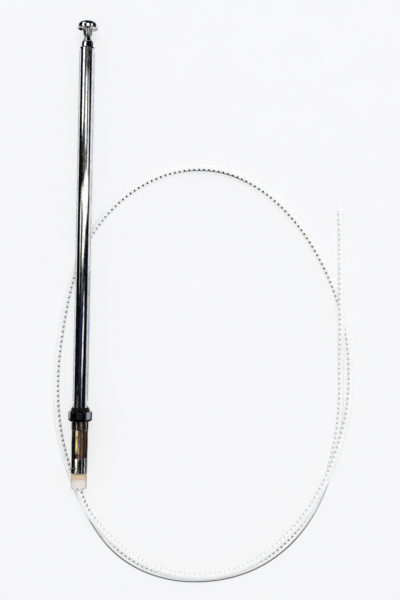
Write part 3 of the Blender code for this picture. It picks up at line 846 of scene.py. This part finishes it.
def make_cord_nylon():
    """Milky nylon with greasy black and painted shade in the gaps of the teeth, and painted shade along
    its back.
    """
    shader, place = new_finish("cord_nylon", 0.0)
    gap, blackness, olive, back_shade = [kept_value(place.tree, name) for name in CORD_LAYERS]
    specks = contrast(noise(place, 700.0), 0.2, 0.5) + 0.4
    # Black in the gaps: grease and painted shade
    grease_and_shade = (contrast(gap, 0.4, 0.7) * blackness).math("MULTIPLY", specks, clamp=True)
    cloud = noise(place, 90.0)
    nylon = mix(cloud, (0.90, 0.90, 0.88), (0.94, 0.94, 0.925))
    # The line of painted shade along the back lies over the rest
    shade = mix(back_shade, mix(grease_and_shade, nylon, mix(olive, BLACK_GREASE_AND_SHADE, OLIVE_GREASE)), BACK_PAINTED_SHADE)
    fill(shader, {
        "Base Color": shade,
        # Painted glow: the cord's colour glows faintly, standing for light it takes in from the table
        "Emission Color": shade,
        "Emission Strength": NYLON_GLOW,
        "Subsurface Weight": 0.6,
        "Subsurface Radius": (0.0016, 0.0016, 0.0015),
        "Subsurface Scale": 1.0,
        "Roughness": cloud * 0.15 + 0.3,
        "Normal": bump(noise(place, 1800.0), 0.15, 0.00003),
    })


def make_black_plastic():
    """Moulded black plastic with a fine grain."""
    shader, place = new_finish("bush_plastic", 0.0)
    worn = effect(SMUDGES, place, 300.0)[0]
    fill(shader, {
        "Base Color": mix(worn, (0.003, 0.003, 0.004), (0.01, 0.01, 0.011)),
        "Roughness": worn * 0.2 + 0.35,
        "Specular IOR Level": 0.12,
        "Normal": bump(noise(place, 3500.0), 0.2, 0.00002),
    })


make_plug_nylon()
make_cord_nylon()
make_black_plastic()
toothed_cord.data.materials.append(FINISHES["cord_nylon"])
print("finishes of the antenna", list(FINISHES))

# %% [markdown]
# The barrel is a drawn tube. Its mouth is rolled inwards with a soft edge, so that it guides the
# next section, and it is turned down a little where the foot's rings are pressed on.

# %% Barrel and sliding sections
TUBE_WALL = 0.00035
RUNNING_GAP = 0.00015
PRESS_GAP = 0.00005
NECK_STEP = 0.0001
NECK_RADIUS = BARREL_RADIUS - NECK_STEP
NECK_RUN = 0.0006
MOUTH_LENGTH = 0.0016
MOUTH_BACK = 0.0021
LIP_HEIGHT = 0.0005
LIP_LENGTH = 0.0006
SPRING_SEAT = 0.0146
CONE_RIM = 0.00025
SECTION_2_RADIUS = 0.0042
SECTION_3_RADIUS = 0.0032
SECTION_2_CONE = 0.0037
SECTION_3_CONE = 0.0034
ROD_RADIUS = ends("section_4_rod")[2]
ROD_SIDES = 96


def make_barrel():
    """Barrel with its rolled mouth and turned-down foot."""
    foot, top, outer = ends("outer_tube")
    shoulder = ends("stop_collar")[1] + SEAT_GAP
    bore = outer - TUBE_WALL
    mouth = SECTION_2_RADIUS + RUNNING_GAP
    make_turned("barrel", "mast_base", "outer_tube", "barrel_chrome", [
        (bore, foot, 0.00005), (NECK_RADIUS, foot, 0.00008), (NECK_RADIUS, shoulder, 0),
        (outer, shoulder + NECK_RUN, 0), (outer, top, 0.0005), (mouth, top, 0.0002),
        (mouth, top - MOUTH_LENGTH, 0), (bore, top - MOUTH_BACK, 0),
    ])


def make_section(body, radius, inner_radius, cone_length):
    """Sliding tube: lipped foot with its spring seat, coned and narrowed top."""
    node = body + "_tube"
    foot, top = ends(node)[:2]
    bore = radius - TUBE_WALL
    lip = radius + LIP_HEIGHT
    mouth = inner_radius + RUNNING_GAP
    seat_top = foot + LIP_LENGTH + SPRING_SEAT
    narrow = top - cone_length / 2
    make_turned(node + "_turned", body, node, "section_chrome", [
        (bore, foot, 0.00005), (lip, foot, 0.0001), (lip, foot + LIP_LENGTH, 0.0001),
        (radius, foot + LIP_LENGTH, 0), (radius, seat_top, 0), (lip, seat_top, 0.0001),
        (lip, seat_top + LIP_LENGTH, 0.0001), (radius, seat_top + LIP_LENGTH, 0),
        (radius, top - cone_length, 0.0006), (mouth + CONE_RIM, top, 0.0001), (mouth, top, 0.00005),
        (mouth, narrow, 0), (bore, narrow - (bore - mouth), 0),
    ])


def make_rod():
    """Solid innermost rod."""
    foot, top, outer = ends("section_4_rod")
    outline = [(0.0, foot, 0), (outer, foot, 0.0002), (outer, top, 0.0002), (0.0, top, 0)]
    make_turned("inner_rod", "section_4", "section_4_rod", "section_chrome", outline, ROD_SIDES)


make_barrel()
make_section("section_2", SECTION_2_RADIUS, SECTION_3_RADIUS, SECTION_2_CONE)
make_section("section_3", SECTION_3_RADIUS, ROD_RADIUS, SECTION_3_CONE)
make_rod()

# %% [markdown]
# The tip cap closes the mast when it is down. It has a domed top, a straight band, a hollow
# underside that sheds water clear of the tube, and a fluted neck below. The flutes are pressed
# into the turned outline by a small change of radius with the angle.

# %% Tip cap
FLUTE_DEPTH = 0.00025
FLUTE_SIDES = 12
FLUTE_MARGIN = 0.0002
NECK_BOTTOM = 0.0027
NECK_TOP = 0.00325
BRIM_HEIGHT = 0.00465
BRIM_WIDTH = 0.0009
BRIM_HOLLOW = 0.0005
BRIM_EDGE = 0.0003
BAND_HEIGHT = 0.00225
CAP_BORE_DEPTH = 0.0077
DOME_RINGS = 14


def make_cap():
    """Domed cap with hollow brim and fluted neck."""
    foot, top, band = ends("tip_cap")
    brim = foot + BRIM_HEIGHT
    band_top = brim + BAND_HEIGHT
    bore = ROD_RADIUS + PRESS_GAP
    bore_top = foot + CAP_BORE_DEPTH
    outline = [
        (0.0, bore_top, 0), (bore, bore_top, 0), (bore, foot, 0.00005), (NECK_BOTTOM, foot, 0.00012),
        (NECK_TOP, brim + BRIM_HOLLOW, 0.0003), (band - BRIM_WIDTH, brim + BRIM_EDGE, 0.0002),
        (band - BRIM_EDGE, brim, 0.00012), (band, brim + BRIM_EDGE, 0.0002),
    ]
    for ring in range(DOME_RINGS):
        angle = math.pi / 2 * ring / DOME_RINGS
        outline.append((band * math.cos(angle), band_top + (top - band_top) * math.sin(angle), 0))
    outline.append((0.0, top, 0))

    def fluted(radius, height, angle):
        low = height <= brim + FLUTE_MARGIN
        if low and NECK_BOTTOM - FLUTE_MARGIN <= radius <= NECK_TOP + FLUTE_MARGIN / 2:
            return radius - FLUTE_DEPTH * (1 - math.cos(FLUTE_COUNT * angle)) / 2
        return radius

    sides = FLUTE_COUNT * FLUTE_SIDES
    make_turned("domed_cap", "section_4", "tip_cap", "cap_chrome", outline, sides, fluted)


make_cap()

# %% [markdown]
# The mast nut is a turned blank with six flats milled on it. Where a cone meets a flat the edge
# is a curve, the mark of every real nut. Each column of the mesh stops its flat at the height
# where the cone has the same radius, which gives that curve exactly. The thread inside is a
# ridge that climbs as it goes round.

# %% Mast nut and bush
NUT_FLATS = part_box("mast_nut")[1].z
NUT_SHOULDER = 0.0050
NUT_BORE = 0.0061
NUT_HOLE = 0.0058
NUT_SHARP = math.radians(12)
CORNER_LOSS = 0.00012
NUT_SIDES = 360
THREAD_PITCH = 0.001
THREAD_DEPTH = 0.00035
THREAD_RINGS = 40
BUSH_GAP = 0.0001
BUSH_LIP = 0.00595
BUSH_LIP_LENGTH = 0.0012
BUSH_STEM = 0.0057
BUSH_CONE = 0.0020
BUSH_FLANGE = 0.0023
BUSH_TIP = 0.00035


def hexagon_radius(angle):
    """Distance from the axis to a flat of the nut or to a corner that the lathe has rounded off."""
    half = math.radians(30)
    from_flat = (angle % (2 * half)) - half
    return min(NUT_FLATS / math.cos(from_flat), NUT_FLATS / math.cos(half) - CORNER_LOSS)


def make_nut():
    """Hexagon nut with coned faces and an inside thread."""
    foot, top = ends("mast_nut")[:2]
    mesh = bmesh.new()
    columns = []
    for side in range(NUT_SIDES):
        angle = 2 * math.pi * side / NUT_SIDES
        wide = hexagon_radius(angle)
        drop = (wide - NUT_FACE) * math.tan(CHAMFER)
        profile = [
            (NUT_BORE + THREAD_DEPTH, foot), (NUT_FACE, foot), (wide, foot + drop), (wide, top - drop),
            (NUT_FACE, top), (NUT_HOLE, top), (NUT_HOLE, foot + NUT_SHOULDER),
        ]
        for ring in range(THREAD_RINGS):
            height = foot + NUT_SHOULDER - (ring + 0.5) * NUT_SHOULDER / THREAD_RINGS
            turn = ((height - foot) / THREAD_PITCH - angle / (2 * math.pi)) % 1.0
            ridge = 1 - abs(turn - 0.5) * 2
            profile.append((NUT_BORE + THREAD_DEPTH * (1 - ridge), height))
        columns.append([add_point(mesh, radius, height, angle) for radius, height in profile])
    data = joined_columns("hexagon_nut", mesh, columns, True, NUT_SHARP)
    dress("hexagon_nut", data, "mast_nut", "mast_nut", "nut_chrome")


def make_bush():
    """Black bush with its lip under the nut and its cone over it."""
    foot, top, flange = ends("nut_bush")
    bore = BARREL_RADIUS + BUSH_GAP
    lip_top = foot + BUSH_LIP_LENGTH
    flange_foot = top - BUSH_FLANGE
    make_turned("cone_bush", "nut_bush", "nut_bush", "bush_plastic", [
        (bore, foot, 0.0001), (BUSH_LIP, foot, 0.0001), (BUSH_LIP, lip_top, 0.0001),
        (BUSH_STEM, lip_top, 0), (BUSH_STEM, flange_foot, 0), (flange, flange_foot, 0.0001),
        (flange, top - BUSH_CONE, 0.0001), (bore + BUSH_TIP, top, 0.00015), (bore, top, 0.00005),
    ])


make_nut()
make_bush()

# %% [markdown]
# Below the nut come the pieces of the mast's foot: the stop collar, the contact sleeve with its
# slits, the crimp ring with one groove, and the nylon plug with notches round its end. The slits
# and notches are cut with boxes, as a saw would cut them.

# %% Foot of the mast
FOOT_BORE = NECK_RADIUS + PRESS_GAP
SLEEVE_WALL = 0.0002
BOW_STEPS = 8
SLIT_COUNT = 6
SLIT_WIDTH = 0.0005
SLIT_LENGTH = 0.0120
SLIT_MARGIN = 0.0004
GROOVE_HEIGHT = 0.0034
GROOVE_WIDTH = 0.0008
GROOVE_FLOOR = 0.0002
GROOVE_DEPTH = 0.00018
PLUG_BORE = CORD_DIAMETER / 2 + 0.0006
NOTCH_WIDTH = 0.0005
NOTCH_REACH = 0.0011


def cut_boxes(data, count, turn, inner, outer, width, bottom, top):
    """Mesh with equal boxes cut out of it, which stand radially round the axis."""
    mesh = bmesh.new()
    for index in range(count):
        box = bmesh.ops.create_cube(mesh, size=1.0)["verts"]
        size = Matrix.Diagonal((outer - inner, top - bottom, width, 1.0))
        place = Matrix.Translation(((inner + outer) / 2, (bottom + top) / 2, 0.0))
        spin = Matrix.Rotation(turn + index * 2 * math.pi / count, 4, "Y")
        bmesh.ops.transform(mesh, matrix=spin @ place @ size, verts=box)
    cutter = add_object("saw", plain_data("saw", mesh))
    work = add_object("blank", data)
    boolean = work.modifiers.new("cut", "BOOLEAN")
    boolean.operation = "DIFFERENCE"
    boolean.solver = "EXACT"
    boolean.object = cutter
    depsgraph = bpy.context.evaluated_depsgraph_get()
    result = bpy.data.meshes.new_from_object(work.evaluated_get(depsgraph))
    bpy.data.objects.remove(work)
    bpy.data.objects.remove(cutter)
    result.set_sharp_from_angle(angle=SHARP)
    return result


def make_collar():
    """Stop collar with soft edges."""
    foot, top, outer = ends("stop_collar")
    make_turned("turned_collar", "mast_base", "stop_collar", "collar_brass", [
        (FOOT_BORE, foot, 0.00005), (outer, foot, 0.0002), (outer, top, 0.0002), (FOOT_BORE, top, 0.00005),
    ])


def make_sleeve():
    """Contact sleeve: bowed in its middle, where six slits part its strips."""
    foot, top, widest = ends("contact_sleeve")
    outer = FOOT_BORE + SLEEVE_WALL
    middle = (foot + top) / 2
    bow = []
    for step in range(BOW_STEPS + 1):
        share = step / BOW_STEPS
        rise = (widest - outer) * math.sin(math.pi * share)
        bow.append((rise, middle + (share - 0.5) * SLIT_LENGTH))
    outline = [(FOOT_BORE, foot, 0), (outer, foot, 0.00008)]
    outline += [(outer + rise, height, 0) for rise, height in bow]
    outline += [(outer, top, 0.00008), (FOOT_BORE, top, 0)]
    outline += [(FOOT_BORE + rise, height, 0) for rise, height in reversed(bow)]
    data = cut_boxes(
        turned_mesh("slit_sleeve", outline), SLIT_COUNT, math.pi / SLIT_COUNT, FOOT_BORE - SLIT_MARGIN,
        widest + SLIT_MARGIN, SLIT_WIDTH, middle - SLIT_LENGTH / 2, middle + SLIT_LENGTH / 2,
    )
    dress("slit_sleeve", data, "mast_base", "contact_sleeve", "sleeve_brass")


def make_ring():
    """Crimp ring with one groove."""
    foot, top, outer = ends("crimp_ring")
    groove = foot + GROOVE_HEIGHT
    floor = outer - GROOVE_DEPTH
    make_turned("grooved_ring", "mast_base", "crimp_ring", "ring_nickel", [
        (FOOT_BORE, foot, 0.00005), (outer, foot, 0.00015), (outer, groove - GROOVE_WIDTH / 2, 0.0001),
        (floor, groove - GROOVE_FLOOR / 2, 0.0001), (floor, groove + GROOVE_FLOOR / 2, 0.0001),
        (outer, groove + GROOVE_WIDTH / 2, 0.0001), (outer, top, 0.00015), (FOOT_BORE, top, 0.00005),
    ])


def make_plug():
    """Guide plug with its stem in the barrel and notches round its free end."""
    foot, top, head = ends("guide_plug")
    head_top = BARREL_FOOT - SEAT_GAP
    stem = BARREL_RADIUS - TUBE_WALL - PRESS_GAP
    outline = [
        (PLUG_BORE, foot, 0.0003), (head, foot, 0.0005), (head, head_top, 0.00012), (stem, head_top, 0),
        (stem, top, 0.0002), (PLUG_BORE, top, 0.0001),
    ]
    data = cut_boxes(
        turned_mesh("notched_plug", outline), NOTCH_COUNT, NOTCH_TURN, head - NOTCH_REACH,
        head + NOTCH_DEPTH, NOTCH_WIDTH, foot - NOTCH_DEPTH, foot + NOTCH_DEPTH,
    )
    dress("notched_plug", data, "mast_base", "guide_plug", "plug_nylon")


make_collar()
make_sleeve()
make_ring()
make_plug()

# %% [markdown]
# The ferrule and the friction springs stay hidden inside the mast at every pose. Their solids have
# the right shape already, so they only get their finish.

# %% Pieces inside the mast
for name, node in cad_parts.items():
    if "spring" in name or name == "cord_ferrule":
        node.data.materials.clear()
        slot = "ferrule_brass" if name == "cord_ferrule" else "spring_bronze"
        node.data.materials.append(FINISHES[slot])
        print("kept solid", name)

# %% [markdown]
# The mast lies on a pale sheet. A broad light stands beyond its tip, and the room around gives a
# nearly neutral fill. The photograph has hardly any shadow, as on a table lit from below, so the
# sheet glows a little itself, which makes each shadow on it faint.
# Nothing here is part of the antenna.

# %% Table and light
TABLE_REACH = 3.0
TABLE_GLOW = 0.685
ROOM_FILL = 0.74
SUN_PLACE = (0.31, 1.45, 2.60)
SUN_WATTS = 28.0
SUN_SIZE = 1.1


def sheet_mesh(name, rows):
    """Open sheet through rows of points."""
    mesh = bmesh.new()
    rows = [[mesh.verts.new(point) for point in row] for row in rows]
    for here, there in zip(rows, rows[1:]):
        add_quads(mesh, here, there, False)
    return plain_data(name, mesh)


def level_rows(x_from, x_to, y_from, y_to, level):
    """Rows of a level sheet."""
    return [[(x, y, level) for x in (x_from, x_to)] for y in (y_from, y_to)]


def make_table():
    """Pale sheet that the mast and its cord lie on."""
    reach = TABLE_REACH
    data = sheet_mesh("table_sheet", level_rows(-reach, reach, -reach, reach, TABLE))
    shader, place = new_finish("table_paper", 0.0)
    fill(shader, {
        "Base Color": mix(noise(place, 60.0), (0.25, 0.25, 0.255), (0.27, 0.27, 0.275)),
        "Emission Color": (0.985, 0.985, 0.985),
        "Emission Strength": TABLE_GLOW,
        "Roughness": 0.9,
        "Specular IOR Level": 0.1,
    })
    data.materials.append(FINISHES["table_paper"])
    add_object("table_sheet", data)


def make_room():
    """Nearly neutral fill for matt surfaces. Gloss sees a dark room, and the cards that stand in it."""
    world = bpy.data.worlds.new("soft_room")
    bpy.context.scene.world = world
    world.use_nodes = True
    tree = world.node_tree
    glossy = Value(tree, tree.nodes.new("ShaderNodeLightPath").outputs["Is Glossy Ray"])
    room = mix(glossy, (0.955, 0.965, 1.015), (0.006, 0.006, 0.009))
    fill(tree.nodes["Background"], {"Color": room, "Strength": ROOM_FILL})


def make_sun():
    """Broad light beyond the tip, a little to the left."""
    data = bpy.data.lights.new("broad_light", "AREA")
    data.size = SUN_SIZE
    data.energy = SUN_WATTS
    data.color = (1.0, 0.99, 0.965)
    light = add_object("broad_light", data)
    light.location = SUN_PLACE
    direction = Vector((*CAMERA_OVER, TABLE)) - light.location
    light.rotation_euler = direction.to_track_quat("-Z", "Y").to_euler()
    light.visible_glossy = False


make_table()
make_room()
make_sun()
bpy.context.scene.view_settings.view_transform = "Standard"
print("table level", round(TABLE, 5), "light at", SUN_PLACE)

# %% [markdown]
# Chrome is only as good as what it mirrors. In the photograph the barrel shows windows and the
# ceiling as long stripes, with black between them. Cards that only gloss can see stand in for
# them, bent round the mast 1 m from it. A stripe's place across the barrel sets its angle from
# straight up, and its place along the barrel sets its reach along Y, so each card is a short list
# of rows: reach along Y, then the angles of its left and right edge.
# Dark things close by on the table draw the thin lines at the barrel's edges, and a dark wall that
# bends round the tip gives the domed cap its black outline.

# %% Reflection cards
CARD_STEPS = 6
CARD_LIFT = 0.0001
MOTTLE_DRAW = 0.03
WHITE = (1.0, 1.0, 1.0)
CREAM = (1.0, 0.99, 0.88)
WARM = (1.0, 0.93, 0.84)
OLIVE = (0.55, 0.54, 0.4)
NAVY = (0.10, 0.11, 0.30)
STONE = (0.62, 0.64, 0.72)
SKY = (0.45, 0.62, 0.78)
# Name, colour, strength, scale of the mottle or None, and rows
OVERHEAD_CARDS = [
    ("left_window", WHITE, 1.5, None,
     [(0.408, -54, -28), (0.353, -55, -30), (0.294, -54, -29), (0.262, -52, -36), (0.25, -48, -42)]),
    ("window_gap", OLIVE, 0.4, None, [(0.345, -25, -12), (0.25, -24, -14)]),
    ("cream_window", CREAM, 1.25, None,
     [(0.356, -6, 8), (0.345, -8, 16), (0.311, -6, 18), (0.277, -8, 20), (0.24, -3, 20), (0.226, 0, 20)]),
    ("right_window", WHITE, 1, None,
     [(0.355, 33, 40), (0.31, 35, 47), (0.262, 36, 52), (0.226, 36, 55), (0.188, 33, 55)]),
    ("middle_window", CREAM, 1.3, None,
     [(0.187, 14, 40), (0.175, 2, 56), (0.158, -11, 63), (0.147, -44, 61), (0.139, -46, 60),
      (0.128, -22, 56), (0.1155, -12, 54), (0.09, -10, 32), (0.056, -15, 18), (0.036, -14, 9),
      (0.024, -10, 3)]),
    ("middle_window_end", SKY, 0.8, 260.0, [(0.034, -14, 8), (0, -10, 4)]),
    ("middle_window_trace", STONE, 0.5, 260.0, [(0, -12, 6), (-0.035, -6, 12)]),
    ("narrow_window", WHITE, 1.2, None,
     [(0.13, -54, -40), (0.107, -52, -36), (0.073, -50, -36), (0.0475, -49, -38)]),
    ("narrow_shade", WARM, 0.55, None, [(0.0475, -49, -38), (0, -46, -38), (-0.02, -44, -40)]),
    ("tip_ceiling", WARM, 0.17, 90.0, [(0.408, -20, 22), (0.352, -20, 26)]),
    ("tip_left", WHITE, 1.5, None, [(1.4, -62, -30), (0.62, -64, -22)]),
    ("cap_left", WHITE, 1.6, None, [(0.50, -60, -36), (0.425, -58, -38)]),
    ("cap_middle", WHITE, 1.6, None, [(0.50, -8, 24), (0.415, -6, 22)]),
    ("cap_right", WHITE, 1.6, None, [(0.50, 44, 66), (0.425, 46, 62)]),
    ("high_ceiling", OLIVE, 0.6, 200.0, [(0.226, -28, 26), (0.18, -26, 26)]),
    ("low_ceiling", NAVY, 0.4, 260.0, [(-0.005, -20, 8), (-0.12, -28, 8), (-0.19, -24, 6)]),
    ("low_strip", CREAM, 1.15, None,
     [(-0.025, 22, 32), (-0.066, 22, 35), (-0.097, 17, 33), (-0.131, 16, 32), (-0.16, 12, 26)]),
    ("low_strip_end", STONE, 0.45, None, [(-0.16, 12, 26), (-0.21, 14, 26)]),
    ("foot_window", CREAM, 1.6, None, [(-0.232, -55, -23), (-0.34, -55, -23)]),
    ("slit_line", STONE, 0.4, 300.0, [(-0.255, -9, -2), (-0.288, -9, -2)]),
    ("foot_line", WHITE, 1.2, None, [(-0.288, -9, -2), (-0.34, -9, -2)]),
    ("foot_right", WHITE, 1, None, [(-0.285, 40, 47), (-0.34, 40, 47)]),
    ("low_wall", STONE, 1.1, None, [(0.7, 82, 91), (0, 82, 91)]),
    ("low_wall_foot", STONE, 0.7, None, [(0, 82, 91), (-0.6, 82, 91)]),
]
# Name, strength, and reach in X and in Y
TABLE_CARDS = [
    ("left_edge", 0.35, -0.019, -0.009, -0.1, 0.14),
    ("right_edge", 0.4, 0.0155, 0.0215, -0.1, 0.14),
    ("right_edge_low", 1, 0.0215, 0.1, -0.1, -0.01),
    ("right_edge_near", 0.7, 0.0095, 0.0135, -0.1, -0.01),
    ("nut_left", 0, -0.036, -0.008, -0.122, -0.1035),
    ("nut_right", 0.78, 0.026, 0.055, -0.125, -0.1035),
    ("foot_left", 0, -0.07, -0.0068, -0.175, -0.126),
    ("foot_right_near", 0, 0.0075, 0.0125, -0.175, -0.126),
    ("foot_right_far", 0, 0.0150, 0.07, -0.175, -0.126),
    ("brim_left", 0, -0.0100, -0.0025, 0.1445, 0.1492),
    ("brim_right", 0, 0.0003, 0.0095, 0.1445, 0.1492),
    ("cone_left", 0, -0.036, -0.0100, 0.1455, 0.1545),
    ("cone_right", 0, 0.0095, 0.036, 0.1455, 0.1545),
    ("nut_right_near", 0, 0.0066, 0.022, -0.125, -0.1035),
]
SHADE_X = -0.028
SHADE_REACH = (-0.24, 0.145)
SHADE_HEIGHTS = (-0.0015, 0.006)
TIP_WALL_REACH = 0.03
TIP_WALL_START = 0.1445
TIP_WALL_TURN = 0.153
TIP_WALL_STEPS = 12
TIP_WALL_HEIGHTS = (TABLE + 0.0022, 0.016)


def make_card(name, rows, colour=WHITE, strength=0.0, mottle=None):
    """Glowing card that only reflections see, even or mottled. At strength 0 it is black."""
    shader, place = new_finish(name, 0.0)
    tree = place.tree
    tree.nodes.remove(shader)
    if mottle is not None:
        # A round tube squeezes the mottle across, so it is drawn wide
        cloud = noise(stretch(place, (MOTTLE_DRAW, 1.0, MOTTLE_DRAW)), mottle, 3.0, 0.6)
        strength = contrast(cloud, 0.45, 0.6) * strength
    glow = add_node(tree, "Emission", {"Color": colour, "Strength": strength})[0]
    fill(tree.nodes["Material Output"], {"Surface": glow})
    data = sheet_mesh(name, rows)
    data.materials.append(FINISHES[name])
    card = add_object(name, data)
    for ray in ("camera", "diffuse", "transmission", "volume_scatter", "shadow"):
        setattr(card, "visible_" + ray, False)


def bent_row(reach, left, right):
    """Points of a row round the mast, 1 m from it."""
    angles = [math.radians(left + (right - left) * step / CARD_STEPS) for step in range(CARD_STEPS + 1)]
    return [(math.sin(angle), reach, math.cos(angle)) for angle in angles]


def tip_wall_rows():
    """Rows of the wall round the tip."""
    plan = [(-TIP_WALL_REACH, TIP_WALL_START)]
    for step in range(TIP_WALL_STEPS + 1):
        angle = math.pi * (1 - step / TIP_WALL_STEPS)
        plan.append((TIP_WALL_REACH * math.cos(angle), TIP_WALL_TURN + TIP_WALL_REACH * math.sin(angle)))
    plan.append((TIP_WALL_REACH, TIP_WALL_START))
    return [[(x, y, height) for x, y in plan] for height in TIP_WALL_HEIGHTS]


for name, colour, strength, mottle, rows in OVERHEAD_CARDS:
    make_card(name, [bent_row(*row) for row in rows], colour, strength, mottle)
make_card("left_shade", [[(SHADE_X, y, height) for y in SHADE_REACH] for height in SHADE_HEIGHTS])
for name, strength, *reach in TABLE_CARDS:
    make_card(name, level_rows(*reach, TABLE + CARD_LIFT), STONE, strength)
make_card("tip_wall", tip_wall_rows())
print("cards overhead", len(OVERHEAD_CARDS), "and on the table", len(TABLE_CARDS))
